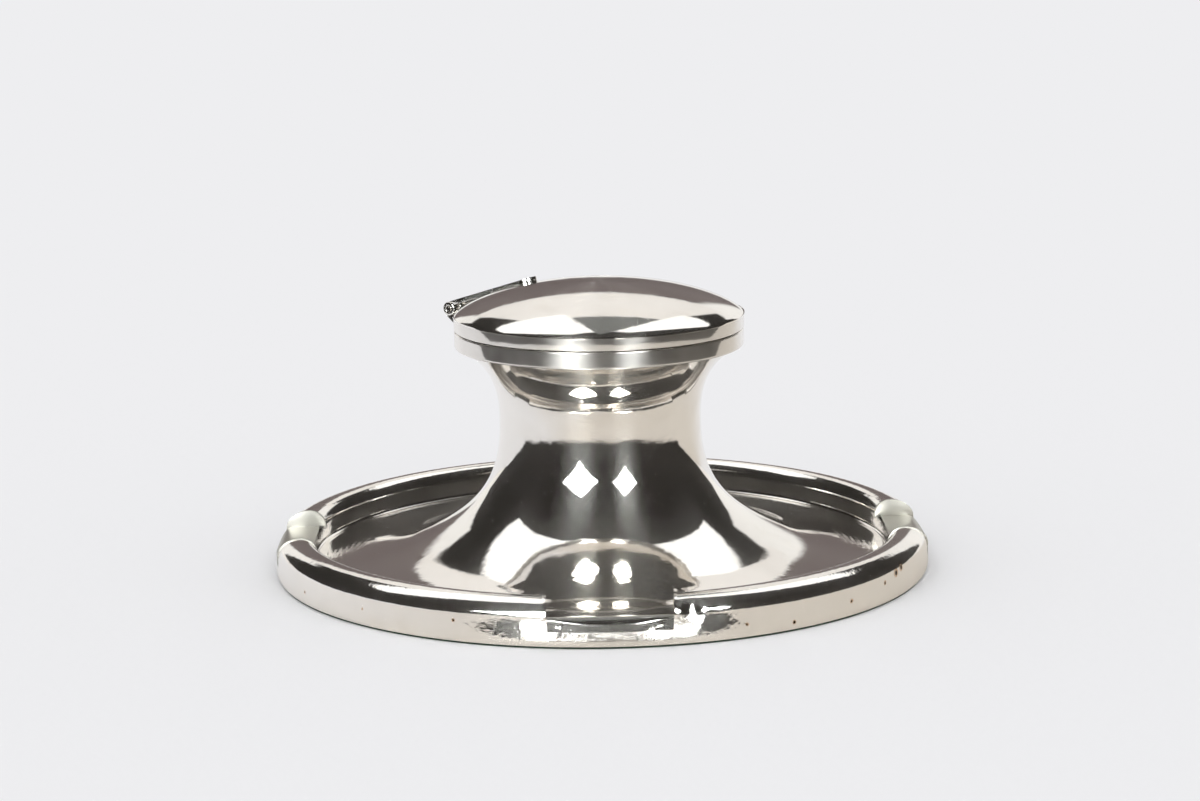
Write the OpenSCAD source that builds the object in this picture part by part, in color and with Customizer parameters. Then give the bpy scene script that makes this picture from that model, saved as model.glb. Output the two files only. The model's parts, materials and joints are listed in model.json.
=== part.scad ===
// Desk inkstand of the capstan kind, in polished sheet metal.
// A round dish with a hollow half-round rim carries four pen rests and a waisted body.
// A collar on the body takes a flanged glass ink pot under a domed lid on a strap hinge.
// The origin is the middle of the underside, and the pen rests face the four sides.

/* [Base] */
// Thickness of the baize under the board
baize_t = 0.6; // [0.4:0.1:1.2]
// Thickness of the wooden board that closes the underside
board_t = 2.4; // [1.6:0.1:4]
// Thinnest layer of loading between the board and the dish floor
bed_t = 0.5; // [0.3:0.1:2]

/* [Dish] */
// Diameter over the skirt of the dish
base_d = 183; // [168:1:220]
// Thickness of the sheet that dish and body are spun from
sheet_t = 0.9; // [0.6:0.05:1.2]
// Depth of the dish from the crest of the rim to the edge of the floor
dish_depth = 8; // [7.4:0.1:12]
// Radius of the half-round top of the rim
crest_r = 4.2; // [3.6:0.1:5.4]
// How far the skirt swells out beyond the half-round
skirt_swell = 2.2; // [1.2:0.1:2.6]
// Height of the skirt's widest ring above its lower edge
skirt_widest = 2.6; // [1.6:0.1:4]
// How far the skirt's lower edge turns in
skirt_tuck = 0.35; // [0.1:0.05:0.6]
// Fall of the dish floor towards the rim, in degrees
floor_fall = 10; // [5:1:13]
// Radius of the fillet between floor and rim wall
floor_fillet = 1.2; // [0.8:0.1:1.8]
// Width of the dish floor that is spun in one with the rim
floor_w = 12; // [8:1:18]

/* [Pen rests] */
// Clear width of a pen rest between its end plates
rest_w = 32.7; // [26:0.1:40]
// Depth of a pen rest below the crest
rest_depth = 4.4; // [4.2:0.1:4.8]
// Thickness of the plates that line a pen rest
rest_t = 0.8; // [0.5:0.1:1.2]
// How far the end plates stand proud of the rim
rest_proud = 0.25; // [0.1:0.05:0.4]
// Distance of a pen rest's straight outer edge inside the skirt
rest_edge = 3.3; // [2.6:0.1:4]
// Radius of the shoulder from that edge down to the skirt
shoulder_r = 3.6; // [2.8:0.1:4]

/* [Body] */
// Thinnest layer of loading between the pot's cup and the waist
fill_t = 2.7; // [1.5:0.1:7]
// Height of the waist above the edge of the dish floor
waist_up = 38.1; // [32:0.1:42]
// Height from the edge of the dish floor to the collar
body_h = 58; // [52:0.1:66]
// Reach of the foot's sweep in from the rim wall
foot_reach = 42.4; // [38:0.1:48]
// Length over which the foot turns upright below the waist
waist_drop = 24.5; // [18:0.1:28]
// Length over which the body stays upright above the waist
waist_rise = 10; // [6:0.1:13]
// Length over which the body flares under the collar
neck_reach = 8.2; // [5:0.1:10]
// Slope of the flare under the collar, in degrees from level
neck_slope = 34; // [28:1:50]

/* [Collar] */
// Diameter over the collar
collar_d = 80.6; // [74:0.2:90]
// Height of the collar
collar_h = 4.8; // [4.4:0.1:7]
// Wall of the collar
collar_t = 1.4; // [1:0.1:2]
// How far the collar stands out over the body
collar_over = 1.9; // [1.2:0.1:3]
// Thickness of the ledge inside the collar and of the mouth plate on it
ledge_t = 1; // [0.7:0.1:1.3]

/* [Ink pot] */
// Outer diameter of the glass pot
pot_d = 47; // [38:0.5:48]
// Height of the pot below its flange
pot_h = 35; // [24:0.5:38]
// Wall of the glass
pot_wall = 2.6; // [1.8:0.1:4]
// Thickness of the bottom of the glass
pot_bottom = 3.4; // [2.5:0.1:6]
// Width of the flange outside the pot
flange_w = 3.5; // [2.5:0.1:5]
// Thickness of the flange
flange_t = 2; // [1.2:0.1:2.6]
// Room around the pot in the mouth plate
pot_play = 0.4; // [0.3:0.05:0.6]
// Wall of the metal cup that the pot stands in
cup_t = 0.5; // [0.3:0.05:0.8]

/* [Lid] */
// How far the lid's edge stands out over the collar
lid_over = 0.25; // [0:0.05:1]
// Height of the upright band of the lid
band_h = 3.3; // [2.6:0.1:6]
// Gap between the collar and the lid
lid_gap = 0.3; // [0.25:0.05:0.6]
// Rise of the dome above the band
dome_h = 9.8; // [8:0.1:16]
// Fullness of the dome, where 0.5 is an ellipse and 1 a parabola
dome_full = 0.7; // [0.6:0.01:0.8]
// Thickness of the lid's sheet
lid_t = 0.9; // [0.6:0.05:1.2]
// How far the lid's inner bezel drops into the collar
bezel_drop = 2.2; // [1:0.1:2.4]
// Room between the bezel and the collar
bezel_play = 0.6; // [0.45:0.05:1]

/* [Hinge] */
// Direction of the hinge, in degrees from the right-hand side
hinge_turn = 144.5; // [91:0.5:179]
// Distance of the hinge axis outside the lid's edge
hinge_out = 5.8; // [5:0.1:8]
// Height of the hinge axis above the lid's lower edge
hinge_up = 2.3; // [1.8:0.1:3]
// Diameter of the hinge pin
pin_d = 1.6; // [1.2:0.1:2.2]
// Running play round the pin on its radius
pin_play = 0.05; // [0.02:0.01:0.09]
// Outer diameter of the knuckles
knuckle_d = 4; // [3.6:0.1:4.6]
// Length of the whole hinge barrel
barrel_w = 16; // [12:0.5:20]
// Gap between neighbouring knuckles
knuckle_gap = 0.25; // [0.2:0.05:0.4]
// Number of knuckles, odd so that the body holds both ends
knuckles = 5; // [3, 5, 7]
// Thickness of the strap and of the bearer
strap_t = 1.25; // [0.9:0.05:1.6]
// Length of the strap inward from the hinge axis
strap_l = 23; // [16:0.5:26]
// Width of the strap at its rounded tip
strap_tip_w = 6; // [4:0.5:9]

/* [Hidden] */
$fn = 128;

silver = [0.84, 0.82, 0.79];
fit = 0.05;          // close fit of pieces that are fixed together
past = 1;            // overrun of a cutting solid
curve_steps = 28;    // steps along a free curve
arc_step = 12;       // degrees between points on an arc

// heights, stacked up from the table
board_top = baize_t + board_t;
floor_z = board_top + bed_t + sheet_t;
crest_z = floor_z + dish_depth;
rim_z = crest_z - crest_r;
waist_z = floor_z + waist_up;
neck_z = floor_z + body_h;
collar_top = neck_z + collar_h;
plate_z = neck_z + ledge_t;
plate_top = plate_z + ledge_t;
band_z = collar_top + lid_gap;
dome_z = band_z + band_h;

// radii of the dish, from the skirt inwards
base_r = base_d / 2;
skirt_top_r = base_r - skirt_swell;
rim_r = skirt_top_r - crest_r;
wall_r = rim_r - crest_r;
fillet_r = wall_r - floor_fillet;
fillet_z = floor_z + floor_fillet * cos(floor_fall);
floor_r = fillet_r - floor_fillet * sin(floor_fall);
skirt_z = baize_t;
widest_z = skirt_z + skirt_widest;
tuck_h = 0.8;
turn_off = 30;       // where the skirt leaves the half-round, in degrees above its middle

// radii of body, collar and lid
collar_r = collar_d / 2;
collar_in = collar_r - collar_t;
neck_r = collar_r - collar_over;
neck_in = neck_r - sheet_t / sin(neck_slope);
lid_r = collar_r + lid_over;
band_inset = 0.15;
band_r = lid_r - band_inset;
bezel_r = collar_in - bezel_play;
bezel_in = bezel_r - lid_t;

// the ink pot and its cup
pot_r = pot_d / 2;
pot_seat = 0.1;
mouth_r = pot_r + pot_play;
flange_z = plate_top + pot_seat;
flange_top = flange_z + flange_t;
pot_z = flange_z - pot_h;
cup_play = 0.6;
cup_in = pot_r + cup_play;
cup_r = cup_in + cup_t;
cup_z = pot_z - cup_play - cup_t;
waist_r = cup_r + fill_t + sheet_t;

// the hinge, in a frame that points outward along +X
hinge_r = lid_r + hinge_out;
hinge_z = band_z + hinge_up;
knuckle_r = knuckle_d / 2;
knuckle_w = barrel_w / knuckles;
land_r = hinge_r - strap_l;
land_z = dome_top(land_r, 0) + strap_t;
land_run = hinge_r - land_r;
land_rise = land_z - hinge_z;
strap_slope = atan2(land_rise, land_run) - asin(knuckle_r / norm([land_run, land_rise]));

// The foot sweeps from the floor's edge up to the waist, and the neck from there to the collar.
foot = [
    [floor_r, floor_z],
    [floor_r - foot_reach * cos(floor_fall), floor_z + foot_reach * sin(floor_fall)],
    [waist_r, waist_z - waist_drop],
    [waist_r, waist_z]
];
neck = [
    [waist_r, waist_z],
    [waist_r, waist_z + waist_rise],
    [neck_r - neck_reach * cos(neck_slope), neck_z - neck_reach * sin(neck_slope)],
    [neck_r, neck_z]
];
seam_t = curve_at_r(foot, floor_r - floor_w, 0, 1, 24);

// A point on a cubic curve, and the way it runs there
function curve_point(c, t) =
    pow(1 - t, 3) * c[0] + 3 * pow(1 - t, 2) * t * c[1] + 3 * (1 - t) * t * t * c[2] + pow(t, 3) * c[3];
function curve_way(c, t) =
    pow(1 - t, 2) * (c[1] - c[0]) + 2 * (1 - t) * t * (c[2] - c[1]) + t * t * (c[3] - c[2]);

// The same point sunk by a depth below the outer face
function sunk(c, t, depth) =
    let (way = curve_way(c, t))
    curve_point(c, t) - depth * [way[1], -way[0]] / norm(way);

// A stretch of the curve at that depth
function stretch(c, from, to, depth) =
    [for (i = [0 : curve_steps]) sunk(c, from + (to - from) * i / curve_steps, depth)];

// Where a curve that runs inward passes a radius, by halving
function curve_at_r(c, r, low, high, turns) =
    let (mid = (low + high) / 2)
    turns == 0 ? mid
    : curve_point(c, mid)[0] > r ? curve_at_r(c, r, mid, high, turns - 1)
    : curve_at_r(c, r, low, mid, turns - 1);

function arc(centre, r, from, to) =
    let (n = ceil(abs(to - from) / arc_step), turn = (to - from) / n)
    [for (i = [0 : n]) centre + r * [cos(from + i * turn), sin(from + i * turn)]];

function backwards(list) = [for (i = [len(list) - 1 : -1 : 0]) list[i]];

// Height of the lid's dome at a radius, at a depth below its outer face
function dome_top(r, depth) =
    dome_z + (dome_h - depth) * pow(max(0, 1 - pow(r / (lid_r - depth), 2)), dome_full);

// The skirt's swell: upright at its widest ring, then leaning in to join the half-round
leave = [rim_r + crest_r * cos(turn_off), rim_z + crest_r * sin(turn_off)];
skirt_lean = 0.38 * (leave[1] - widest_z);   // length of the curve's handles
skirt = [
    [base_r, widest_z],
    [base_r, widest_z + skirt_lean],
    leave + skirt_lean * [sin(turn_off), -cos(turn_off)],
    leave
];

// The section of the dish at a depth below its outer face, from the skirt's edge in to the seam
function tray_line(depth) = concat(
    [[base_r - skirt_tuck - depth, skirt_z], [base_r - depth, skirt_z + tuck_h]],
    stretch(skirt, 0, 0.97, depth),
    arc([rim_r, rim_z], crest_r - depth, turn_off, 174),
    [[wall_r + depth, rim_z]],
    arc([fillet_r, fillet_z], floor_fillet + depth, 0, -90 - floor_fall),
    stretch(foot, 0.02, seam_t, depth)
);

// The section of the body at that depth, from the seam up to just under the collar
function body_line(depth) = [
    for (p = concat(stretch(foot, seam_t, 1, depth), stretch(neck, 0.04, 1, depth)))
        if (p[1] < neck_z - 0.1 * depth) p
];

rest_half = rest_w / 2;
rest_top = crest_z - rest_depth;
rest_under = rest_top - rest_t;
rest_y = base_r - rest_edge;
shoulder_z = rest_top - shoulder_r;

// Draws a section of radius and height along the front pen rest, which runs straight across the rim
module along_rest(half_w) {
    translate([half_w, 0, 0])
        rotate([90, 0, -90])
            linear_extrude(height = 2 * half_w) children();
}

// The rest's flat floor and round shoulder, at a depth below them
function rest_line(depth) = concat(
    [[wall_r - rest_proud, rest_top - depth]],
    arc([rest_y, shoulder_z], shoulder_r - depth, 90, 0)
);

// Room for the plates of one pen rest
module rest_room(extra) {
    line = rest_line(rest_t + extra);
    along_rest(rest_half + rest_t + extra)
        polygon(concat(
            [[wall_r - 4, crest_z + past], [wall_r - 4, rest_under - extra]],
            line,
            [[base_r + past, line[len(line) - 1][1]], [base_r + past, crest_z + past]]
        ));
}

module all_rests() {
    for (turn = [0 : 90 : 270]) rotate([0, 0, turn]) children();
}

// The rim's whole section above a height, grown by an extra all round
module rim_block(low, extra) {
    rotate_extrude()
        polygon(concat(
            [[wall_r - extra, low]],
            [for (p = stretch(skirt, 0, 0.97, -extra)) if (p[1] > low) p],
            arc([rim_r, rim_z], crest_r + extra, turn_off, 180)
        ));
}

module rest_floor() {
    color(silver)
        intersection() {
            rim_block(widest_z, fit);
            along_rest(rest_half) polygon(concat(rest_line(0), backwards(rest_line(rest_t))));
        }
}

module rest_ends() {
    color(silver)
        for (side = [0, 1])
            mirror([side, 0, 0])
                intersection() {
                    rim_block(rest_under, rest_proud);
                    translate([rest_half, -base_r - past, rest_under])
                        cube([rest_t, base_r, crest_z]);
                }
}

module rest_floor_front() rest_floor();
module rest_floor_right() rotate([0, 0, 90]) rest_floor();
module rest_floor_back() rotate([0, 0, 180]) rest_floor();
module rest_floor_left() rotate([0, 0, 270]) rest_floor();
module rest_ends_front() rest_ends();
module rest_ends_right() rotate([0, 0, 90]) rest_ends();
module rest_ends_back() rotate([0, 0, 180]) rest_ends();
module rest_ends_left() rotate([0, 0, 270]) rest_ends();

// The dish: skirt, hollow half-round rim, wall and floor, spun in one, with the rests cut out
module tray_shell() {
    color(silver)
        difference() {
            rotate_extrude()
                polygon(concat(tray_line(0), backwards(tray_line(sheet_t))));
            all_rests() rest_room(0);
        }
}

// The waisted body: the foot's sweep, the waist and the flare to the collar
module capstan_body() {
    color(silver)
        rotate_extrude()
            polygon(concat(
                body_line(0),
                [[neck_r, neck_z], [neck_in, neck_z]],
                backwards(body_line(sheet_t))
            ));
}

// The collar, with its ledge inside and a softened lower edge
module mouth_collar() {
    soft = 0.4;
    color(silver)
        rotate_extrude()
            polygon([
                [neck_in, neck_z],
                [collar_r - 1.1, neck_z],
                [collar_r - soft / 2, neck_z + soft / 2],
                [collar_r, neck_z + 2 * soft],
                [collar_r, collar_top - soft],
                [collar_r - soft, collar_top],
                [collar_in, collar_top],
                [collar_in, plate_z],
                [neck_in, plate_z]
            ]);
}

module mouth_plate() {
    color(silver)
        translate([0, 0, plate_z])
            difference() {
                cylinder(h = ledge_t, r = collar_in - fit);
                translate([0, 0, -past])
                    cylinder(h = ledge_t + 2 * past, r = mouth_r);
            }
}

// The thin cup under the mouth plate that keeps the loading off the glass
module liner_cup() {
    color([0.72, 0.62, 0.42])
        difference() {
            translate([0, 0, cup_z])
                cylinder(h = plate_z - fit - cup_z, r = cup_r);
            translate([0, 0, cup_z + cup_t])
                cylinder(h = plate_z - cup_z, r = cup_in);
        }
}

// The pitch that fills dish, rim and body round the cup
module loading() {
    depth = sheet_t + fit;
    top_z = neck_z - ledge_t;
    inside = [
        for (p = concat(tray_line(depth), body_line(depth)))
            if (p[1] > board_top + fit && p[1] < top_z) p
    ];
    last = inside[len(inside) - 1];
    color([0.16, 0.12, 0.10])
        difference() {
            rotate_extrude()
                polygon(concat(
                    [[0, board_top + fit], [inside[0][0], board_top + fit]],
                    inside,
                    [[last[0], top_z], [cup_r + fit, top_z], [cup_r + fit, cup_z - fit], [0, cup_z - fit]]
                ));
            all_rests() rest_room(fit);
        }
}

module base_board() {
    color([0.42, 0.27, 0.15])
        translate([0, 0, baize_t])
            cylinder(h = board_t, r = base_r - skirt_tuck - sheet_t - fit);
}

module baize_pad() {
    color([0.10, 0.16, 0.12])
        cylinder(h = baize_t, r = base_r - skirt_tuck - sheet_t / 2);
}

// Turns what is drawn in the hinge's frame to the hinge's place
module at_hinge() {
    rotate([0, 0, hinge_turn]) children();
}

// A bar along the hinge axis, from one distance to another
module along_axis(from, to, r) {
    translate([hinge_r, from, hinge_z])
        rotate([-90, 0, 0])
            cylinder(h = to - from, r = r);
}

// The length of one knuckle, grown by a room at both ends
module knuckle_bar(i, r, room) {
    from = -barrel_w / 2 + i * knuckle_w;
    along_axis(from + knuckle_gap / 2 - room, from + knuckle_w - knuckle_gap / 2 + room, r);
}

module knuckle_set(first, bore_r) {
    difference() {
        for (i = [first : 2 : knuckles - 1]) knuckle_bar(i, knuckle_r, 0);
        along_axis(-barrel_w, barrel_w, bore_r);
    }
}

module hinge_knuckles_body() {
    color(silver) at_hinge() knuckle_set(0, pin_d / 2);
}

module hinge_knuckles_lid() {
    color(silver) at_hinge() knuckle_set(1, pin_d / 2 + pin_play);
}

module hinge_pin() {
    color([0.66, 0.66, 0.66]) at_hinge() along_axis(-barrel_w / 2, barrel_w / 2, pin_d / 2);
}

// The leaf on the collar: it hugs the collar and leans out to the barrel
module hinge_bearer() {
    hug_low = neck_z + 1;
    hug_high = collar_top - 0.4;
    color(silver)
        at_hinge()
            difference() {
                translate([0, barrel_w / 2 - knuckle_gap / 2, 0])
                    rotate([90, 0, 0])
                        linear_extrude(height = barrel_w - knuckle_gap)
                            polygon([
                                [collar_r - 2, hug_low],
                                [collar_r + strap_t, hug_low],
                                [hinge_r + strap_t / 2, hinge_z - knuckle_r],
                                [hinge_r - knuckle_r, hinge_z - knuckle_r / 2],
                                [collar_r + strap_t, hug_high],
                                [collar_r - 2, hug_high]
                            ]);
                cylinder(h = dome_z, r = collar_r);
                for (i = [1 : 2 : knuckles - 1]) knuckle_bar(i, knuckle_r + knuckle_gap, knuckle_gap);
                for (i = [0 : 2 : knuckles - 1]) knuckle_bar(i, knuckle_r, knuckle_gap);
            }
}

// The strap seen from above: as wide as the barrel at the hinge, tapered to a round tip
module strap_outline() {
    tip_r = strap_tip_w / 2;
    length = norm([land_run, land_rise]) + 1.5;
    polygon(concat(
        [[0, barrel_w / 2 - knuckle_gap], [-4, barrel_w / 2 - knuckle_gap]],
        arc([tip_r - length, 0], tip_r, 80, 280),
        [[-4, knuckle_gap - barrel_w / 2], [0, knuckle_gap - barrel_w / 2]]
    ));
}

// The leaf on the lid: it leaves the barrel's top and lands on the dome
module hinge_strap() {
    color(silver)
        at_hinge()
            difference() {
                translate([hinge_r, 0, hinge_z])
                    rotate([0, strap_slope, 0])
                        translate([0, 0, knuckle_r - strap_t])
                            linear_extrude(height = strap_t) strap_outline();
                for (i = [1 : 2 : knuckles - 1]) knuckle_bar(i, knuckle_r, 0);
                for (i = [0 : 2 : knuckles - 1]) knuckle_bar(i, knuckle_r + knuckle_gap, knuckle_gap);
                dome_solid();
            }
}

dome_steps = 30;

function dome_line(depth) = [
    for (i = [0 : dome_steps])
        let (r = (lid_r - depth) * sin(90 * i / dome_steps))
            [r, dome_top(r, depth)]
];

module dome_solid() {
    rotate_extrude() polygon(concat([[0, dome_z]], backwards(dome_line(0))));
}

module lid_dome() {
    color(silver)
        rotate_extrude() polygon(concat(dome_line(0), backwards(dome_line(lid_t))));
}

module lid_band() {
    color(silver)
        translate([0, 0, band_z])
            difference() {
                cylinder(h = band_h, r = band_r);
                translate([0, 0, -past])
                    cylinder(h = band_h + 2 * past, r = band_r - lid_t);
            }
}

// The bezel inside the lid, with the flange that carries it in the band
module lid_bezel() {
    low = band_z - bezel_drop;
    color(silver)
        rotate_extrude()
            polygon([
                [bezel_in, low],
                [bezel_r, low],
                [bezel_r, dome_z - lid_t],
                [band_r - lid_t, dome_z - lid_t],
                [band_r - lid_t, dome_z],
                [bezel_in, dome_z]
            ]);
}

// The flanged glass pot that holds the ink
module glass_pot() {
    hollow_r = pot_r - pot_wall;
    heel = 2;
    lip = 0.6;
    color([0.80, 0.90, 0.88])
        rotate_extrude()
            polygon(concat(
                [[0, pot_z]],
                arc([pot_r - heel, pot_z + heel], heel, -90, 0),
                [[pot_r, flange_z], [pot_r + flange_w, flange_z]],
                arc([pot_r + flange_w - lip, flange_top - lip], lip, 0, 90),
                arc([hollow_r + lip, flange_top - lip], lip, 90, 180),
                arc([hollow_r - heel, pot_z + pot_bottom + heel], heel, 0, -90),
                [[0, pot_z + pot_bottom]]
            ));
}

tray_shell();
capstan_body();
mouth_collar();
mouth_plate();
liner_cup();
rest_floor_front();
rest_floor_right();
rest_floor_back();
rest_floor_left();
rest_ends_front();
rest_ends_right();
rest_ends_back();
rest_ends_left();
loading();
base_board();
baize_pad();
hinge_bearer();
hinge_knuckles_body();
hinge_pin();
hinge_knuckles_lid();
hinge_strap();
lid_dome();
lid_band();
lid_bezel();
glass_pot();
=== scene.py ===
import json
import math

import bmesh
import bpy
from mathutils import Matrix, Vector

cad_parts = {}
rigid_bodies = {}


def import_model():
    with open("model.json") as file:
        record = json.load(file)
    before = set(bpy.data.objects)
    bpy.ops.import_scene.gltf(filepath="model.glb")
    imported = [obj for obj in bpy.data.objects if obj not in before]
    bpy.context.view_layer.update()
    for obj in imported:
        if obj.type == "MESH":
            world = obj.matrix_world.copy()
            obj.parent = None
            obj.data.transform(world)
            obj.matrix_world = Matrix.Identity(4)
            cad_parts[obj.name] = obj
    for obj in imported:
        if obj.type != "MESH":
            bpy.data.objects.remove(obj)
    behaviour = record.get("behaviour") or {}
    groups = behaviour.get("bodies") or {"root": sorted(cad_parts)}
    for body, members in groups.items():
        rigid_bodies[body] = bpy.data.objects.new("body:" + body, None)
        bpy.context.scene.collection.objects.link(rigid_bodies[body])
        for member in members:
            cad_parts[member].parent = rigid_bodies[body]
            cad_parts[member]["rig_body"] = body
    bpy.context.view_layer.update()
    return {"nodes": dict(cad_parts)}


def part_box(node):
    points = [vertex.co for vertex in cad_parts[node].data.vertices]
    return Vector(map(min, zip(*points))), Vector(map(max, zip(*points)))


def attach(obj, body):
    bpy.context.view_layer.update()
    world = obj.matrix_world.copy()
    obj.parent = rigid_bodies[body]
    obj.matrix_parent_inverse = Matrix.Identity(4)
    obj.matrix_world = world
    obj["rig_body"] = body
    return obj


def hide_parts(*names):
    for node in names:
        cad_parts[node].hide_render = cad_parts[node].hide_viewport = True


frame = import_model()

mm = 0.001


def sizeOf(node):
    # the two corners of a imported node's box, in millimetres
    low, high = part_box(node)
    return low / mm, high / mm


def shade(red, green, blue):
    # a colour given in display values, made linear
    def line(value):
        value = value / 255
        return value / 12.92 if value <= 0.04045 else ((value + 0.055) / 1.055) ** 2.4
    return (line(red), line(green), line(blue), 1)


# camera, placed by matching the rings of the dish and the lid to the photograph
view = {
    "pictureWide": 1200,
    "sensor": 36,
    "clip": (0.01, 100),
    "focal": 3000,        # in pixels of the picture
    "distance": 0.8404,   # from the aim point
    "aimHeight": 0.040,
    "elevation": 11.43,
    "turn": -1.14,        # round the object, to bring the front pen rest into place
    "roll": -0.87,
    "aimRight": -0.04,    # pixels between the aim point and the middle of the picture
    "aimUp": 22.56,
}


def makeCamera():
    lift = math.radians(view["elevation"])
    ahead = Vector((0, math.cos(lift), -math.sin(lift)))
    side = Vector((1, 0, 0))
    above = side.cross(ahead)
    eye = Vector((0, 0, view["aimHeight"])) - ahead * view["distance"]
    look = (ahead * view["focal"] - side * view["aimRight"] + above * view["aimUp"]).normalized()
    right = look.cross(Vector((0, 0, 1))).normalized()
    up = right.cross(look)
    tilt = math.radians(view["roll"])
    right, up = right * math.cos(tilt) + up * math.sin(tilt), up * math.cos(tilt) - right * math.sin(tilt)
    place = Matrix((right, up, -look)).transposed().to_4x4()
    place.translation = eye
    lens = bpy.data.cameras.new("camera")
    lens.sensor_width = view["sensor"]
    lens.lens = view["focal"] / view["pictureWide"] * view["sensor"]
    lens.clip_start, lens.clip_end = view["clip"]
    camera = bpy.data.objects.new("camera", lens)
    camera.matrix_world = Matrix.Rotation(math.radians(view["turn"]), 4, "Z") @ place
    bpy.context.scene.collection.objects.link(camera)
    bpy.context.scene.camera = camera


class Wire:
    # a socket in an expression: adding, multiplying and so on make the Math nodes
    def __init__(self, bench, socket):
        self.bench, self.socket = bench, socket

    def math(self, operation, *values):
        inputs = dict(enumerate((self,) + values))
        return self.bench.node("Math", {"operation": operation}, inputs)

    def __add__(self, other): return self.math("ADD", other)
    def __sub__(self, other): return self.math("SUBTRACT", other)
    def __mul__(self, other): return self.math("MULTIPLY", other)
    def __truediv__(self, other): return self.math("DIVIDE", other)

    def ramp(self, low, high, atLow=0.0, atHigh=1.0):
        # eases from one value to the other as this goes from low to high
        return self.bench.node("MapRange", {"interpolation_type": "SMOOTHSTEP"}, {
            "Value": self, "From Min": low, "From Max": high, "To Min": atLow, "To Max": atHigh})

    def between(self, low, high, soft):
        # 1 from low to high and 0 outside, with soft edges
        return self.ramp(low - soft, low + soft) * self.ramp(high - soft, high + soft, 1, 0)


class Bench:
    # the node tree of one material or of the world
    def __init__(self, tree):
        self.tree = tree
        tree.nodes.clear()

    def node(self, kind, settings=None, inputs=None, out=0):
        made = self.tree.nodes.new("ShaderNode" + kind)
        for name, value in (settings or {}).items():
            setattr(made, name, value)
        for name, value in (inputs or {}).items():
            if isinstance(value, Wire):
                self.tree.links.new(value.socket, made.inputs[name])
            else:
                made.inputs[name].default_value = value
        return Wire(self, made.outputs[out]) if made.outputs else None

    def outs(self, kind, inputs, *names):
        outputs = self.node(kind, None, inputs).socket.node.outputs
        return [Wire(self, outputs[name]) for name in names]

    def mix(self, factor, first, second):
        return self.node("Mix", {"data_type": "RGBA"}, {0: factor, 6: first, 7: second}, 2)

    def noise(self, where, scale, detail=2.0, roughness=0.5, twist=0.0):
        return self.node("TexNoise", None, {
            "Vector": where, "Scale": scale, "Detail": detail, "Roughness": roughness, "Distortion": twist})

    def apart(self, vector):
        return self.outs("SeparateXYZ", {0: vector}, "X", "Y", "Z")

    def bump(self, height):
        # height is in metres
        return self.node("Bump", None, {"Strength": 1.0, "Distance": 1.0, "Height": height})


def newMaterial(name):
    material = bpy.data.materials.new(name)
    material.use_nodes = True
    return material, Bench(material.node_tree)


# what stands round the object in the studio, by direction in degrees:
# across from straight behind the object, clockwise seen from above, and up from level
room = {
    "dark": shade(42, 40, 38),
    "high": shade(66, 65, 63),
    "highFrom": (45, 75),
    "white": shade(250, 249, 246),
    "cream": shade(247, 244, 240),
    "mauve": shade(112, 103, 102),
    "grey": shade(122, 124, 122),
    "warm": shade(150, 122, 112),
    "box": (1.3, 1.3, 1.28, 1),
    "lamp": (13, 13.5, 13.5, 1),
    # from and to across with the softness of those edges, the same upwards, and the colour
    "low": ((-125, -105, 3, -100, -2, 1, "warm"), (-100, -78, 3, -100, -2, 1, "warm")),
    "sweep": {"half": 78, "soft": 2, "top": 13.2, "drop": -0.25, "edge": 0.6},
    "patches": ((-33, 33, 1, -100, 28, 1, "white"), (-20, 13, 1.5, 3, 25, 1, "mauve"),
                (-22, 22, 1, 25, 50, 1, "cream"), (-8, 20, 1, 50, 100, 1, "grey"),
                (-75, -8, 1, 45, 80, 1, "box"), (20, 55, 1, 40, 77, 1, "box")),
    # middle across and up, and half the size across and up
    "softBoxes": ((-156.8, 18.5, 18.8, 18), (153.5, 20, 13.5, 15)),
    "softBoxEdge": (0.96, 1.02),
    "backdrop": shade(238, 238, 240),
}


def makeWorld():
    world = bpy.data.worlds.new("studio")
    bpy.context.scene.world = world
    world.use_nodes = True
    world.cycles.sampling_method = "NONE"
    b = Bench(world.node_tree)
    x, y, z = b.apart(b.node("TexCoord"))
    across = x.math("ARCTAN2", y) * math.degrees(1) + view["turn"]
    up = z.math("ARCSINE") * math.degrees(1)

    def laid(sky, patches):
        for left, right, softAcross, low, high, softUp, colour in patches:
            where = across.between(left, right, softAcross) * up.between(low, high, softUp)
            sky = b.mix(where, sky, room[colour])
        return sky

    sky = b.mix(up.ramp(*room["highFrom"]), room["dark"], room["high"])
    sky = laid(sky, room["low"])
    # the pale sweep behind, which is lower towards its sides
    sweep = room["sweep"]
    off = across.math("ABSOLUTE")
    under = (off * sweep["drop"] + sweep["top"] - up).ramp(-sweep["edge"], sweep["edge"])
    sides = off.ramp(sweep["half"] - sweep["soft"], sweep["half"] + sweep["soft"], 1, 0)
    sky = b.mix(sides * under, sky, room["cream"])
    sky = laid(sky, room["patches"])
    # two soft boxes beside the camera, standing on a corner
    for middle, height, half, tall in room["softBoxes"]:
        reach = (across - middle).math("ABSOLUTE") / half + (up - height).math("ABSOLUTE") / tall
        sky = b.mix(reach.ramp(*room["softBoxEdge"], 1, 0), sky, room["lamp"])

    camera, glossy, through = b.outs("LightPath", None, "Is Camera Ray", "Is Glossy Ray", "Is Transmission Ray")
    pale = b.node("Background", None, {0: room["backdrop"], 1: 1.0})
    soft = b.node("Background", None, {0: (1, 1, 1, 1), 1: 1.0})
    mirrored = b.node("Background", None, {0: sky, 1: 1.0})
    lit = b.node("MixShader", None, {0: glossy, 1: soft, 2: mirrored})
    lit = b.node("MixShader", None, {0: camera.math("MAXIMUM", through), 1: lit, 2: pale})
    b.node("OutputWorld", None, {"Surface": lit})


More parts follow.
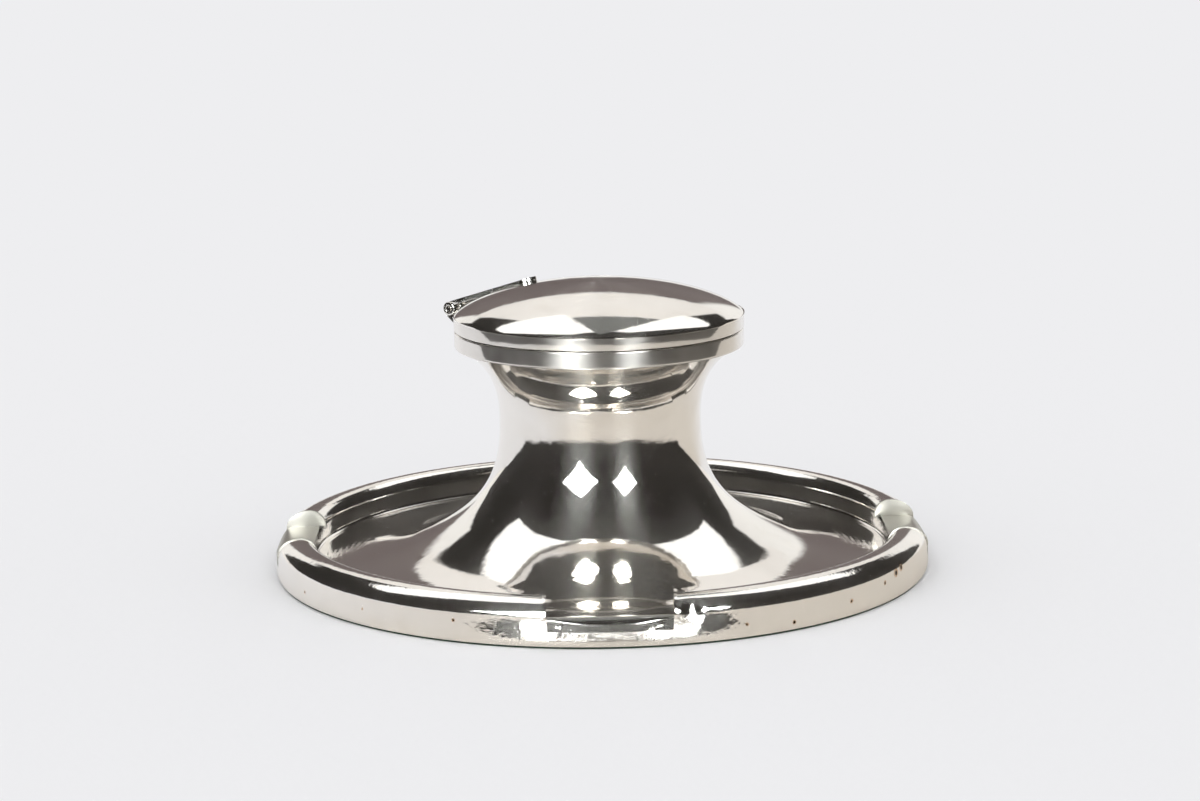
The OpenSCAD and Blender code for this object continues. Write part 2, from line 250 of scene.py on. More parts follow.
# the table: plain pale paper, which in reflections ends where the studio's paper does
table = {
    "paper": shade(238, 238, 240),
    "paperWarm": shade(218, 212, 203),   # in reflections, towards the front right
    "warmHalf": 0.15,
    "edge": 0.275,        # from the axis to the paper's edge
    "edgeSoft": 0.004,
    "spread": 1.4,        # how much farther the paper goes for each step back
    "reach": 6.0,
    "segments": 64,
}


def makeFloor():
    bm = bmesh.new()
    bmesh.ops.create_circle(bm, cap_ends=True, segments=table["segments"], radius=table["reach"])
    floor = finishMesh("floor", bm, None)
    material, b = newMaterial("tablePaper")
    x, y, z = b.apart(b.node("TexCoord", None, None, "Object"))
    glossy = b.node("LightPath", None, None, "Is Glossy Ray")
    side = y.math("MAXIMUM", 0.0) * table["spread"] + table["edge"]
    front = y.math("MINIMUM", 0.0)
    past = ((x * x + front * front).math("SQRT") - side).ramp(-table["edgeSoft"], table["edgeSoft"])
    warm = (x - y).ramp(-table["warmHalf"], table["warmHalf"])
    paper = b.mix(glossy * warm, table["paper"], table["paperWarm"])
    white = b.node("BsdfDiffuse", None, {0: paper})
    dark = b.node("Emission", None, {0: room["dark"], 1: 1.0})
    b.node("OutputMaterial", None, {"Surface": b.node("MixShader", None, {0: glossy * past, 1: white, 2: dark})})
    floor.data.materials.append(material)


def finishMesh(name, bm, material, sharp=35):
    mesh = bpy.data.meshes.new(name)
    bm.to_mesh(mesh)
    bm.free()
    mesh.shade_smooth()
    mesh.set_sharp_from_angle(angle=math.radians(sharp))
    piece = bpy.data.objects.new(name, mesh)
    bpy.context.scene.collection.objects.link(piece)
    if material:
        mesh.materials.append(material)
    return piece


def standFor(piece, node):
    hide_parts(node)
    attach(piece, frame["nodes"][node]["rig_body"])


def spinPart(outline, steps, start, turn):
    # spins a closed outline of radius and height, in millimetres, part of the way round the upright axis
    bm = bmesh.new()
    first = Matrix.Rotation(start, 3, "Z")
    points = [bm.verts.new(first @ Vector((radius * mm, 0, height * mm))) for radius, height in outline]
    lines = [bm.edges.new(pair) for pair in zip(points, points[1:] + points[:1])]
    bmesh.ops.spin(bm, geom=points + lines, cent=(0, 0, 0), axis=(0, 0, 1), angle=turn, steps=steps)
    return bm


def repeatRound(bm, copies):
    # turned copies complete the circle, which is much quicker than one full spin
    part = bm.verts[:] + bm.edges[:] + bm.faces[:]
    for copy in range(1, copies):
        made = bmesh.ops.duplicate(bm, geom=part)["geom"]
        corners = [g for g in made if isinstance(g, bmesh.types.BMVert)]
        turn = Matrix.Rotation(math.tau * copy / copies, 3, "Z")
        bmesh.ops.rotate(bm, verts=corners, cent=(0, 0, 0), matrix=turn)
    bmesh.ops.remove_doubles(bm, verts=bm.verts, dist=1e-7)
    loose = [e for e in bm.edges if not e.link_faces]
    bmesh.ops.delete(bm, geom=loose, context="EDGES")
    bmesh.ops.recalc_face_normals(bm, faces=bm.faces)


def lathe(outline, steps):
    parts = 8
    bm = spinPart(outline, steps // parts, 0, math.tau / parts)
    repeatRound(bm, parts)
    return bm


def arc(middle, radius, start, end, step=4):
    count = max(1, round(abs(end - start) / step))
    turns = [math.radians(start + (end - start) * i / count) for i in range(count + 1)]
    return [(middle[0] + radius * math.cos(t), middle[1] + radius * math.sin(t)) for t in turns]


def curvePoint(curve, t, depth=0.0):
    # a point on a cubic curve, sunk by a depth below the outer side
    a, c, d, e = [Vector(p) for p in curve]
    place = a * (1 - t) ** 3 + c * 3 * t * (1 - t) ** 2 + d * 3 * t * t * (1 - t) + e * t ** 3
    way = ((c - a) * (1 - t) ** 2 + (d - c) * 2 * t * (1 - t) + (e - d) * t * t).normalized()
    return (place.x - depth * way.y, place.y + depth * way.x)


def stretch(curve, start, end, depth, count):
    return [curvePoint(curve, start + (end - start) * i / count, depth) for i in range(count + 1)]


def whereRadius(curve, radius):
    # how far along a curve that runs inwards it has this radius, found by halving
    low, high = 0.0, 1.0
    for halving in range(30):
        middle = (low + high) / 2
        if curvePoint(curve, middle)[0] > radius:
            low = middle
        else:
            high = middle
    return low


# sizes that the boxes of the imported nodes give; all sizes below are in millimetres and degrees
trayLow, trayHigh = sizeOf("tray_shell")
collarLow, collarHigh = sizeOf("mouth_collar")
bandLow, bandHigh = sizeOf("lid_band")
domeLow, domeHigh = sizeOf("lid_dome")
bezelLow, bezelHigh = sizeOf("lid_bezel")
potLow, potHigh = sizeOf("glass_pot")
cupLow, cupHigh = sizeOf("liner_cup")
boardTop = sizeOf("base_board")[1].z

dish = {
    "sheet": 0.9,
    "crestR": 4.2,        # of the rim's inner half
    "swell": 2.2,
    "lean": 0.15,
    "shoulderUp": 7.0,    # height of the skirt below the rim's outer half
    "tuck": 0.35,         # the skirt's foot, turned in
    "tuckSide": 0.1,
    "tuckUp": 0.5,
    "wallUp": (1.2, 3.4, -2),
    "floorUp": 0.7,       # above the base board
    "fall": 4,            # slope of the floor's edge
    "fillet": 1.2,
    "floorWidth": 12,     # from the fillet to the seam with the body
    "steps": 480,
}
body = {
    "fill": 2.7,          # between the cup and the waist's sheet
    "waistUp": 42.5,
    "rise": 10,
    "neckReach": 8.2,
    "neckSlope": 34,
    "over": 1.9,          # how far the collar stands out from the neck
    "kneeR": 53.56,
    "kneeUp": 7.78,
    "kneeSlope": 22.6,
    "kneeHigh": 25.0,
    "kneeLow": 7.0,
    "drop": 13.94,
    "floorReach": 14.0,
    "neckInside": 0.93,   # share of the neck's curve that the inner side has
    "steps": 360,
}

baseR, crestZ, skirtZ = trayHigh.x, trayHigh.z, trayLow.z
floorZ = boardTop + dish["floorUp"]
rimZ = crestZ - dish["crestR"]
rimR = baseR - dish["swell"] - dish["crestR"]
wallR = rimR - dish["crestR"]
shoulderZ = skirtZ + dish["shoulderUp"]
rimWide, rimTall = baseR - dish["lean"] - rimR, crestZ - shoulderZ
wallLow, wallMiddle, wallHigh = dish["wallUp"]
skirt = [(baseR, skirtZ + wallLow), (baseR, skirtZ + wallMiddle),
         (rimR + rimWide, shoulderZ + wallHigh), (rimR + rimWide, shoulderZ)]
fall = math.radians(dish["fall"])
filletR = wallR - dish["fillet"]
filletZ = floorZ + dish["fillet"] * math.cos(fall)
floorR = filletR - dish["fillet"] * math.sin(fall)

waistR = cupHigh.x + body["fill"] + dish["sheet"]
neckR, neckZ = collarHigh.x - body["over"], collarLow.z
kneeR, kneeZ, waistZ = body["kneeR"], body["kneeUp"], body["waistUp"]
slope = math.radians(body["neckSlope"])
bend = math.radians(body["kneeSlope"])
# the body's side: from the dish floor to the knee, from the knee to the waist, and up to the neck
footLow = [(floorR, floorZ),
           (floorR - body["floorReach"] * math.cos(fall), floorZ + body["floorReach"] * math.sin(fall)),
           (kneeR + body["kneeLow"] * math.cos(bend), kneeZ - body["kneeLow"] * math.sin(bend)),
           (kneeR, kneeZ)]
footHigh = [(kneeR, kneeZ),
            (kneeR - body["kneeHigh"] * math.cos(bend), kneeZ + body["kneeHigh"] * math.sin(bend)),
            (waistR, waistZ - body["drop"]), (waistR, waistZ)]
neck = [(waistR, waistZ), (waistR, waistZ + body["rise"]),
        (neckR - body["neckReach"] * math.cos(slope), neckZ - body["neckReach"] * math.sin(slope)),
        (neckR, neckZ)]
seam = whereRadius(footLow, floorR - dish["floorWidth"])


def rimLine(depth, fine):
    # up the skirt, round the rim's outer side and down its inner side, sunk by a depth
    turns = [math.radians(90 * i / (8 * fine)) for i in range(1, 8 * fine)]
    outer = [(rimR + (rimWide - depth) * math.cos(turn), shoulderZ + (rimTall - depth) * math.sin(turn))
             for turn in turns]
    inner = arc((rimR, rimZ), dish["crestR"] - depth, 90, 180, 9 / fine)
    return stretch(skirt, 0, 1, depth, 6 * fine) + outer + inner


def skirtRadius(height):
    # the outer radius of the skirt and the rim's outer half, at a height
    if height < shoulderZ:
        return baseR - dish["lean"] * max(0.0, (height - skirtZ) / (shoulderZ - skirtZ))
    return rimR + rimWide * math.sqrt(max(0.0, 1 - ((height - shoulderZ) / rimTall) ** 2))


def trayOutline():
    def line(depth, fine):
        foot = [(baseR - dish["tuck"] - depth, skirtZ), (baseR - dish["tuckSide"] - depth, skirtZ + dish["tuckUp"])]
        turned = arc((filletR, filletZ), dish["fillet"] + depth, 0, -90 - dish["fall"], 8 if fine > 1 else 20)
        return foot + rimLine(depth, 2 * fine) + turned + stretch(footLow, 0.02, seam, depth, 4 * fine)
    return line(0, 2) + line(dish["sheet"], 1)[::-1]


# what years of use have done to the dish: the rim drawn in round the front rest, dents and pits
wear = {
    "drawnHalf": 25,      # degrees each way from the front
    "drawnIn": 0.71,
    "drawnFrom": 1.8,     # height at which it begins
    "drawnFade": 6,
    "reach": (60, 70),    # how far forward it begins, and how far to the sides it goes
    # places with a size and the way they are pushed
    "dents": (((20.6, -87.3, 8.8), 2.1, (0.0, 0.9, -0.25)), ((19.2, -89.2, 5.4), 1.8, (0.0, 0.40, 0.0)),
              ((12.5, -90.4, 6.8), 4.2, (0.0, 0.45, 0.0)), ((26.5, -86.8, 9.0), 3.0, (0.0, 0.22, 0.0))),
    # places with a radius
    "pits": (((77.3, -48.6, 7.6), 0.75), ((79.0, -45.7, 8.4), 0.7), ((63.6, -65.5, 4.6), 0.4),
             ((47.6, -78.1, 2.6), 0.35), ((73.8, -53.9, 6.2), 0.4), ((-64.0, -65.0, 5.0), 0.3),
             ((-40.0, -82.0, 6.0), 0.3), ((35.0, -84.3, 4.0), 0.3), ((-80.5, -43.0, 4.0), 0.3)),
}


def pressed(place):
    around = math.degrees(math.atan2(place.x, -place.y))
    radius = math.hypot(place.x, place.y)
    near = 1 / (1 + (around / wear["drawnHalf"]) ** wear["drawnFade"])
    high = min(1.0, max(0.0, (place.z / mm - wear["drawnFrom"]) / (shoulderZ - wear["drawnFrom"])))
    out = min(1.0, max(0.0, (radius / mm - rimR) / (baseR - rimR)))
    pull = wear["drawnIn"] * near * high * out
    place = place * 1
    place.x -= pull * mm * place.x / radius
    place.y -= pull * mm * place.y / radius
    for middle, size, push in wear["dents"]:
        gap = (place - Vector(middle) * mm).length / (size * mm)
        place = place + Vector(push) * mm * math.exp(-gap * gap)
    return place


def wearIn(bm):
    forward, aside = wear["reach"]
    for corner in bm.verts:
        if corner.co.y < -forward * mm and abs(corner.co.x) < aside * mm:
            corner.co = pressed(corner.co)


# a pen rest: a box cut through the rim, lined with a plate that turns down over the skirt
rest = {
    "width": 32.7,
    "depth": 4.4,
    "plate": 0.8,
    "proud": 0.25,        # of the end plates, over the rim
    "edge": 3.3,          # from the skirt to the flat of the floor
    "shoulder": 3.6,
    "facets": (90, 76, 62, 48, 34, 20),
    "cutSink": 0.1,
    "search": (6, 10, 3), # faces looked at for the cut: inwards from the wall, aside, and above
    "slices": 36,
    "over": 0.03,         # the shoulder lies this much over the skirt
    "endFrom": 9,         # the part of the round from which an end plate is cut
    "endTurn": 6,
    "endSteps": 24,
    "endHard": 50,
    "endBevel": 0.09,
}
restTop = crestZ - rest["depth"]
restHalf = rest["width"] / 2
restY = baseR - rest["edge"]


def soften(bm, angle, width, segments):
    hard = [e for e in bm.edges if len(e.link_faces) == 2 and e.calc_face_angle(0) > math.radians(angle)]
    bmesh.ops.bevel(bm, geom=hard, offset=width * mm, segments=segments, profile=0.5, affect="EDGES",
                    material=-1, clamp_overlap=True)


def sliced(bm, place, way, faces, clear=False):
    parts = list(faces) + list({e for f in faces for e in f.edges}) + list({v for f in faces for v in f.verts})
    bmesh.ops.bisect_plane(bm, geom=parts, dist=1e-8, plane_co=place, plane_no=way, clear_outer=clear)


def shoulderPlanes(sink):
    # flats that together follow the floor of a rest and its round shoulder, as places and directions
    reach = (rest["shoulder"] - sink) * mm
    middle = Vector((0, -restY * mm, (restTop - rest["shoulder"]) * mm))
    turns = [math.radians(facet) for facet in rest["facets"]]
    ways = [Vector((0, -math.cos(turn), math.sin(turn))) for turn in turns]
    return [(middle + way * reach, way) for way in ways]


def cutRest(bm):
    # opens the rim for the front pen rest, between the outer faces of its end plates
    half = (restHalf + rest["plate"]) * mm
    planes = shoulderPlanes(rest["cutSink"])
    inwards, aside, above = rest["search"]

    def near():
        found = []
        for face in bm.faces:
            middle = face.calc_center_median()
            forward = middle.y < -(wallR - inwards) * mm
            if forward and abs(middle.x) < half + aside * mm and middle.z > above * mm:
                found.append(face)
        return found

    sliced(bm, (half, 0, 0), (1, 0, 0), near())
    sliced(bm, (-half, 0, 0), (1, 0, 0), near())
    for place, way in planes:
        sliced(bm, place, way, [f for f in near() if abs(f.calc_center_median().x) < half])
    gone = []
    for face in near():
        middle = face.calc_center_median()
        if abs(middle.x) < half and any((middle - place).dot(way) > 0 for place, way in planes):
            gone.append(face)
    bmesh.ops.delete(bm, geom=gone, context="FACES")


def restFloor():
    # the flat plate of the front rest and its shoulder, which ends on the skirt
    middle = (restY, restTop - rest["shoulder"])
    inner = wallR - rest["proud"]
    line = [(inner, restTop)] + arc(middle, rest["shoulder"], 90, 0, 4)
    under = arc(middle, rest["shoulder"] - rest["plate"], 0, 90, 15) + [(inner, restTop - rest["plate"])]
    bm = bmesh.new()
    flat = bm.faces.new([bm.verts.new((-restHalf * mm, -y * mm, z * mm)) for y, z in line + under])
    made = bmesh.ops.extrude_face_region(bm, geom=[flat])["geom"]
    moved = [g for g in made if isinstance(g, bmesh.types.BMVert)]
    bmesh.ops.translate(bm, verts=moved, vec=(2 * restHalf * mm, 0, 0))
    for step in range(1, rest["slices"]):
        sliced(bm, ((2 * step / rest["slices"] - 1) * restHalf * mm, 0, 0), (1, 0, 0), bm.faces[:])
    for corner in bm.verts:
        radius = math.hypot(corner.co.x, corner.co.y)
        limit = (skirtRadius(corner.co.z / mm) + rest["over"]) * mm
        if radius > limit:
            corner.co.x *= limit / radius
            corner.co.y *= limit / radius
    bmesh.ops.recalc_face_normals(bm, faces=bm.faces)
    return bm


def restEnds():
    # the two end plates of the front rest, standing a little proud of the rim
    low = restTop - rest["plate"]
    around = [p for p in rimLine(-rest["proud"], 3) if p[1] > low]
    outline = [(around[0][0], low)] + around + [(around[-1][0], low)]
    both = bmesh.new()
    for side in (-1, 1):
        start = math.radians(-90 + rest["endFrom"] * side)
        bm = spinPart(outline, rest["endSteps"], start, math.radians(rest["endTurn"] * side))
        bmesh.ops.recalc_face_normals(bm, faces=bm.faces)
        sliced(bm, (restHalf * side * mm, 0, 0), (-side, 0, 0), bm.faces[:], True)
        sliced(bm, ((restHalf + rest["plate"]) * side * mm, 0, 0), (side, 0, 0), bm.faces[:], True)
        bmesh.ops.holes_fill(bm, edges=[e for e in bm.edges if e.is_boundary], sides=0)
        soften(bm, rest["endHard"], rest["endBevel"], 2)
        bmesh.ops.recalc_face_normals(bm, faces=bm.faces)
        part = bpy.data.meshes.new("part")
        bm.to_mesh(part)
        bm.free()
        both.from_mesh(part)
        bpy.data.meshes.remove(part)
    return both


def bodyOutline():
    def line(depth, fine, end):
        return (stretch(footLow, seam, 1, depth, 12 * fine)[:-1] + stretch(footHigh, 0, 1, depth, 24 * fine)[:-1]
                + stretch(neck, 0, end, depth, 15 * fine))
    return line(0, 3, 1) + line(dish["sheet"], 1, body["neckInside"])[::-1]


# what is poured into the body round the cup, just clear of the sheet
filling = {"gap": 0.05, "below": 1, "wide": 58, "steps": 96}


def pitchOutline():
    gap = filling["gap"]
    depth, top, low = dish["sheet"] + gap, neckZ - filling["below"], boardTop + gap
    side = (stretch(footLow, whereRadius(footLow, filling["wide"]), 1, depth, 8)[:-1]
            + stretch(footHigh, 0, 1, depth, 24)[:-1]
            + [p for p in stretch(neck, 0, 1, depth, 12) if p[1] < top])
    cupR, cupZ = cupHigh.x + gap, cupLow.z - gap
    return [(0, low), (side[0][0], low)] + side + [(side[-1][0], top), (cupR, top), (cupR, cupZ), (0, cupZ)]


mouth = {
    "wall": 1.4,
    "footIn": 1.1,
    "footRound": 0.5,
    "footUp": 0.6,
    "sideUp": (0.8, 0.4), # where the upright side begins above the foot, and ends below the top
    "edge": 0.35,
    "innerEdge": 0.2,
    "shelf": 1,
    "steps": 360,
}


def collarOutline():
    outer, low, high = collarHigh.x, collarLow.z, collarHigh.z
    inner = outer - mouth["wall"]
    neckIn = neckR - dish["sheet"] / math.sin(slope)
    foot, edge, innerEdge, shelf = mouth["footRound"], mouth["edge"], mouth["innerEdge"], low + mouth["shelf"]
    sideLow, sideHigh = low + mouth["sideUp"][0], high - mouth["sideUp"][1]
    return ([(neckIn, low), (outer - mouth["footIn"], low)]
            + arc((outer - foot, low + mouth["footUp"]), foot, -80, -10, 14)
            + [(outer, sideLow), (outer, sideHigh)] + arc((outer - edge, high - edge), edge, 10, 80, 14)
            + [(inner + innerEdge, high), (inner, high - innerEdge), (inner, shelf), (neckIn, shelf)])


lid = {
    "full": 0.7,          # power of the dome's curve
    "sheet": 0.9,
    "bandEdge": 0.25,
    # the narrow rolled edge where the dome meets the band, as steps in from the side and up
    "roll": ((0.02, 0.55), (0, 0.3), (0, 0.1), (0.1, 0)),
    "steps": 360,
}


def bandOutline():
    outer, low, high = bandHigh.x, bandLow.z, bandHigh.z
    inner, edge = outer - lid["sheet"], lid["bandEdge"]
    return arc((outer - edge, low + edge), edge, -90, 0, 22) + [(outer, high), (inner, high), (inner, low)]


def domeTop(radius, depth):
    share = max(0.0, 1 - (radius / (domeHigh.x - depth)) ** 2)
    return domeLow.z + (domeHigh.z - domeLow.z - depth) * share ** lid["full"]


def domeOutline():
    def line(depth, count):
        turns = [math.pi / 2 * i / count for i in range(count + 1)]
        radii = [(domeHigh.x - depth) * math.sin(turn) for turn in turns]
        return [(radius, domeTop(radius, depth)) for radius in radii]
    rolled = [(domeHigh.x - back, domeLow.z + up) for back, up in lid["roll"]]
    return line(0, 60)[:-2] + rolled + line(lid["sheet"], 24)[::-1]


bezel = {"inner": 37.4, "wall": 0.9, "flange": 0.9, "edge": 0.15, "steps": 240}


def bezelOutline():
    low, high, outer = bezelLow.z, bezelHigh.z, bezelHigh.x
    inner, edge = bezel["inner"], bezel["edge"]
    ring, under = inner + bezel["wall"], high - bezel["flange"]
    return [(inner + edge, low), (ring - edge, low), (ring, low + edge), (ring, under),
            (outer, under), (outer, high), (inner, high), (inner, low + edge)]


pot = {"wall": 2.6, "bottom": 3.4, "flange": 3.5, "flangeThick": 2, "flangeEdge": 0.2, "heel": 2, "lip": 0.6,
       "steps": 192}


def potOutline():
    wide, top, bottom = potHigh.x, potHigh.z, potLow.z
    outer, under = wide - pot["flange"], top - pot["flangeThick"]
    inner = outer - pot["wall"]
    heel, lip, floor = pot["heel"], pot["lip"], bottom + pot["bottom"]
    return ([(0, bottom)] + arc((outer - heel, bottom + heel), heel, -90, 0, 12)
            + [(outer, under), (wide - pot["flangeEdge"], under)]
            + arc((wide - lip, top - lip), lip, -60, 90, 14) + arc((inner + lip, top - lip), lip, 90, 180, 14)
            + arc((inner - heel, floor + heel), heel, 0, -90, 12) + [(0, floor)])


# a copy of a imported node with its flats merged, its edges softened and its rounds smooth
copied = {"merge": 2e-6, "flat": 1, "hard": 40, "segments": 3}


def recast(node, material, width):
    bm = bmesh.new()
    bm.from_mesh(frame["nodes"][node].data)
    bmesh.ops.remove_doubles(bm, verts=bm.verts, dist=copied["merge"])
    bmesh.ops.dissolve_limit(bm, angle_limit=math.radians(copied["flat"]), verts=bm.verts, edges=bm.edges)
    soften(bm, copied["hard"], width, copied["segments"])
    return finishMesh(node + "_shown", bm, material)


# polished silver: each noise is given as scale, detail and roughness, each relief in metres
grain = {
    "scratch": (2.6, 3, 0.7),
    "scratchRound": 5,    # scratches are this much longer round the axis
    "swell": (55, 1, 0.4),
    "swellHigh": 0.00010,
    "ripple": (260, 2, 0.5),
    "rippleHigh": 0.000024,
    "stain": (90, 5, 0.6),
    "stainShare": 0.35,
    "stainTint": (0.86, 0.83, 0.78),
    "haze": (35, 3, 0.6),
    "gloss": (400, 4, 0.7),
    "rough": (0.03, 0.085),
    "spreadRough": 0.38,
}
# what only the dish has: turning marks at the edge of its floor, a patchy, hammered look,
# the rubbed and stained skirt below the front rest, and pits
used = {
    "marks": 4200,
    "marksWave": (30, 2, 0.5),
    "marksBend": 5,
    "marksFrom": (0.066, 0.0800, 0.002),
    "marksBelow": (0.0055, 0.008),
    "marksHigh": 0.000009,
    "hammer": (480, 3, 0.6),
    "hammerFrom": (0.056, 0.066),
    "hammerHigh": 0.000045,
    "rub": (160, 5, 0.7),
    "rubAside": (0.016, 0.026),
    "rubForward": (-0.087, -0.084),
    "rubUp": (0.0022, 0.0078, 0.0006),
    "rubHaze": 0.1,
    "speck": (1500, 4, 0.8),
    "speckShare": 0.75,
    "speckTint": shade(126, 112, 98),
    "speckHigh": 0.00002,
    "ragged": (900, 3, 0.7),
    "raggedWide": 0.0008,
    "haloWide": 2.2,
    "haloShare": 0.75,
    "haloTint": shade(196, 150, 96),
    "pitTint": shade(30, 25, 22),
    "pitDeep": 0.00012,
}


def usedDish(b, where, radius, height, colour, share):
    x, y, z = b.apart(where)
    marks = (radius * used["marks"] + b.noise(where, *used["marksWave"]) * used["marksBend"]).math("SINE")
    marks = marks * radius.between(*used["marksFrom"]) * z.ramp(*used["marksBelow"], 1, 0)
    hammered = b.noise(where, *used["hammer"]) * radius.ramp(*used["hammerFrom"])
    height = height + marks * used["marksHigh"] + hammered * used["hammerHigh"]

    front = x.math("ABSOLUTE").ramp(*used["rubAside"], 1, 0) * y.ramp(*used["rubForward"], 1, 0)
    rubbed = front * z.between(*used["rubUp"]) * b.noise(where, *used["rub"]).ramp(0.35, 0.6)
    speck = rubbed * b.noise(where, *used["speck"]).ramp(0.42, 0.62)
    colour = b.mix(speck * used["speckShare"], colour, used["speckTint"])
    share = share + rubbed * used["rubHaze"]
    height = height + speck * used["speckHigh"]

    for place, size in wear["pits"]:
        spot = tuple(value * mm for value in place)
        size = size * mm
        gap = b.node("VectorMath", {"operation": "DISTANCE"}, {0: where, 1: spot}, "Value")
        gap = gap + b.noise(where, *used["ragged"]) * used["raggedWide"] - used["raggedWide"] / 2
        colour = b.mix(gap.ramp(size, size * used["haloWide"], used["haloShare"], 0), colour, used["haloTint"])
        colour = b.mix(gap.ramp(size * 0.6, size, 1, 0), colour, used["pitTint"])
        height = height - gap.ramp(size * 0.5, size * 1.1, 1, 0) * used["pitDeep"]
    return height, colour, share


def polish(name, tint, fine, streak=0.95, haze=(0.06, 0.15), worked=False):
    material, b = newMaterial(name)
    where = b.node("TexCoord", None, None, "Object")
    x, y, z = b.apart(where)
    radius = (x * x + y * y).math("SQRT")
    # scratches of the polishing wheel run round the axis
    turn = y.math("ARCTAN2", x)
    lines = b.node("CombineXYZ", None, {0: turn * grain["scratchRound"], 1: radius * 1000, 2: z * 1000})
    scratch = b.noise(lines, *grain["scratch"])
    height = (b.noise(where, *grain["swell"]) * grain["swellHigh"]
              + b.noise(where, *grain["ripple"]) * grain["rippleHigh"] + scratch * fine)
    stain = b.noise(where, *grain["stain"]).ramp(0.45, 0.75)
    stained = tuple(part * less for part, less in zip(tint, grain["stainTint"])) + (1,)
    colour = b.mix(stain * grain["stainShare"], tint, stained)
    share = b.noise(where, *grain["haze"]).ramp(0.3, 0.7, *haze)
    if worked:
        height, colour, share = usedDish(b, where, radius, height, colour, share)
    bump = b.bump(height)
    rough = b.noise(where, *grain["gloss"]).ramp(0.3, 0.8, *grain["rough"])
    mirror = b.node("BsdfPrincipled", None, {
        "Base Color": colour, "Metallic": 1.0, "Roughness": rough, "Normal": bump})
    # the finest scratches spread light across themselves, so along the upright
    spread = b.node("BsdfPrincipled", None, {
        "Base Color": colour, "Metallic": 1.0, "Roughness": grain["spreadRough"], "Normal": bump,
        "Anisotropic": streak, "Anisotropic Rotation": 0.25})
    metal = b.node("MixShader", None, {0: share, 1: mirror, 2: spread})
    b.node("OutputMaterial", None, {"Surface": metal})
    return material


glass = {
    "swirl": (130, 2, 0.5),
    "swirlHigh": 0.00003,
    "pressed": (900, 2, 0.6),
    "pressedHigh": 0.0000015,
    "groundUp": (0.0659, 0.0664),   # the rim is ground flat, and dull
    "ground": (1500, 3, 0.7),
    "groundRough": (0.25, 0.45),
    "clearRough": 0.015,
    "clouds": (60, 2, 0.5),
    "tints": ((0.86, 0.95, 0.92, 1), (0.93, 0.97, 0.95, 1)),
}


def glassMaterial():
    material, b = newMaterial("potGlass")
    where = b.node("TexCoord", None, None, "Object")
    x, y, z = b.apart(where)
    height = (b.noise(where, *glass["swirl"]) * glass["swirlHigh"]
              + b.noise(where, *glass["pressed"]) * glass["pressedHigh"])
    dull = b.noise(where, *glass["ground"]).ramp(0.3, 0.7, *glass["groundRough"])
    rough = dull * z.ramp(*glass["groundUp"]) + glass["clearRough"]
    tint = b.mix(b.noise(where, *glass["clouds"]), *glass["tints"])
    clear = b.node("BsdfPrincipled", None, {
        "Base Color": tint, "Roughness": rough, "Normal": b.bump(height), "IOR": 1.5, "Transmission Weight": 1.0})
    b.node("OutputMaterial", None, {"Surface": clear})
    return material


def dullMaterial(name, first, second, scale, rough, relief, stretchX=1.0):
    # wood, pitch and baize: two colours in a grain, with relief
    material, b = newMaterial(name)
    where = b.node("TexCoord", None, None, "Object")
    along = b.node("Mapping", None, {"Vector": where, "Scale": (stretchX, 1, 1)})
    broad = b.noise(along, scale, 6, 0.65, 0.6)
    fine = b.noise(along, scale * 9, 4, 0.7)
    colour = b.mix((broad * 0.65 + fine * 0.35).ramp(0.3, 0.7), first, second)
    soft = b.node("BsdfPrincipled", None, {
        "Base Color": colour, "Roughness": fine.ramp(0.2, 0.8, rough - 0.1, rough + 0.1),
        "Normal": b.bump((broad + fine * 0.5) * relief)})
    b.node("OutputMaterial", None, {"Surface": soft})
    return material


makeCamera()
makeWorld()
makeFloor()
print("stage set")

silverTint = (0.94, 0.91, 0.87, 1)
silver = polish("silverStand", silverTint, 0.0000022)
plain = polish("silverPlates", silverTint, 0.0000010, 0.0)
# the rests at the right, back and left get the same silver at about half the front rest's brightness, and duller
darkerRestSilver = polish("silverRests", (0.46, 0.445, 0.405, 1), 0.0000010, 0.0, (0.86, 0.95))
hingeMetal = polish("silverHinge", (0.90, 0.88, 0.84, 1), 0.0000010, 0.0, (0.22, 0.4))
hammered = polish("silverDish", silverTint, 0.0000022, worked=True)
worn = polish("silverEdges", silverTint, 0.0000040, 0.95, (0.30, 0.55))
brass = polish("cupBrass", (0.80, 0.62, 0.33, 1), 0.000003, 0.2)
clear = glassMaterial()
board = dullMaterial("boardWood", shade(96, 62, 38), shade(134, 92, 58), 90, 0.5, 0.00003, 0.12)
pitch = dullMaterial("darkPitch", shade(38, 32, 28), shade(56, 47, 40), 120, 0.6, 0.0001)
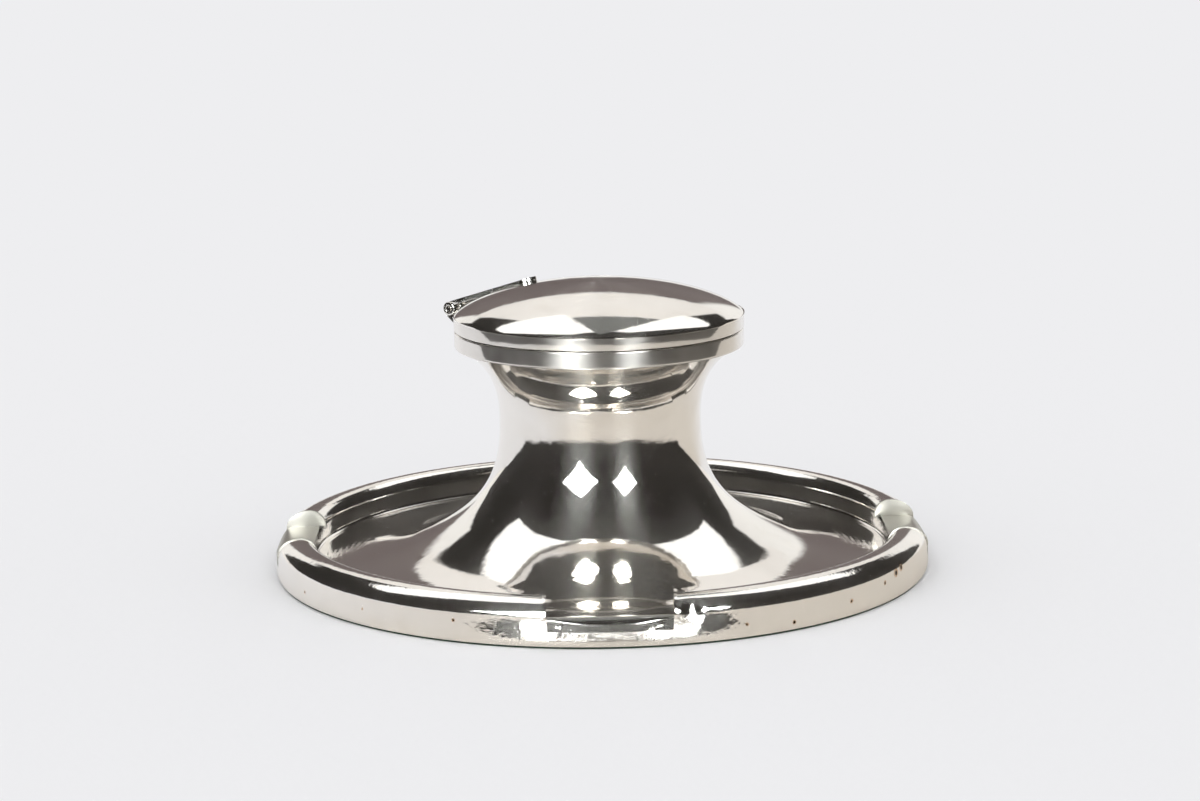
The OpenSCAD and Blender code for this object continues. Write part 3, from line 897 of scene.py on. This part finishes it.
felt = dullMaterial("greenBaize", shade(38, 52, 42), shade(56, 74, 60), 600, 0.9, 0.00012)
print("materials mixed")

# a quarter of the dish with the front rest cut in it, then the other three
quarter = spinPart(trayOutline(), dish["steps"] // 4, math.radians(-135), math.radians(90))
cutRest(quarter)
repeatRound(quarter, 4)
wearIn(quarter)
standFor(finishMesh("dish", quarter, hammered), "tray_shell")
# each turned piece by name, with its outline, steps, material, the node it replaces and its slot
turned = (
    ("capstan", bodyOutline, body["steps"], silver, "capstan_body", "silver_stand"),
    ("collar", collarOutline, mouth["steps"], worn, "mouth_collar", "silver_stand"),
    ("band", bandOutline, lid["steps"], worn, "lid_band", "silver_lid"),
    ("dome", domeOutline, lid["steps"], silver, "lid_dome", "silver_lid"),
    ("inkPot", potOutline, pot["steps"], clear, "glass_pot", "pot_glass"),
    ("bezel", bezelOutline, bezel["steps"], plain, "lid_bezel", "silver_inside"),
    ("pitchFilling", pitchOutline, filling["steps"], pitch, "loading", "pitch"),
)
for name, outline, steps, material, node, slotName in turned:
    standFor(finishMesh(name, lathe(outline(), steps), material), node)
print("turned pieces spun")

for place, side in enumerate(("front", "right", "back", "left")):
    for kind, make in (("floor", restFloor), ("ends", restEnds)):
        bm = make()
        turn = Matrix.Rotation(math.radians(90 * place), 3, "Z")
        bmesh.ops.rotate(bm, verts=bm.verts, cent=(0, 0, 0), matrix=turn)
        wearIn(bm)
        node = "rest_" + kind + "_" + side
        look = plain if side == "front" else darkerRestSilver
        standFor(finishMesh("pen_" + node, bm, look), node)
for node in ("hinge_bearer", "hinge_knuckles_body", "hinge_knuckles_lid", "hinge_strap"):
    standFor(recast(node, hingeMetal, 0.3), node)
print("rests and hinge made")

dressed = {"base_board": board, "baize_pad": felt, "liner_cup": brass, "mouth_plate": plain, "hinge_pin": plain}
for name, material in dressed.items():
    node = frame["nodes"][name]
    node.data.materials.clear()
    node.data.materials.append(material)

bpy.context.scene.view_settings.view_transform = "Standard"
bpy.context.view_layer.update()
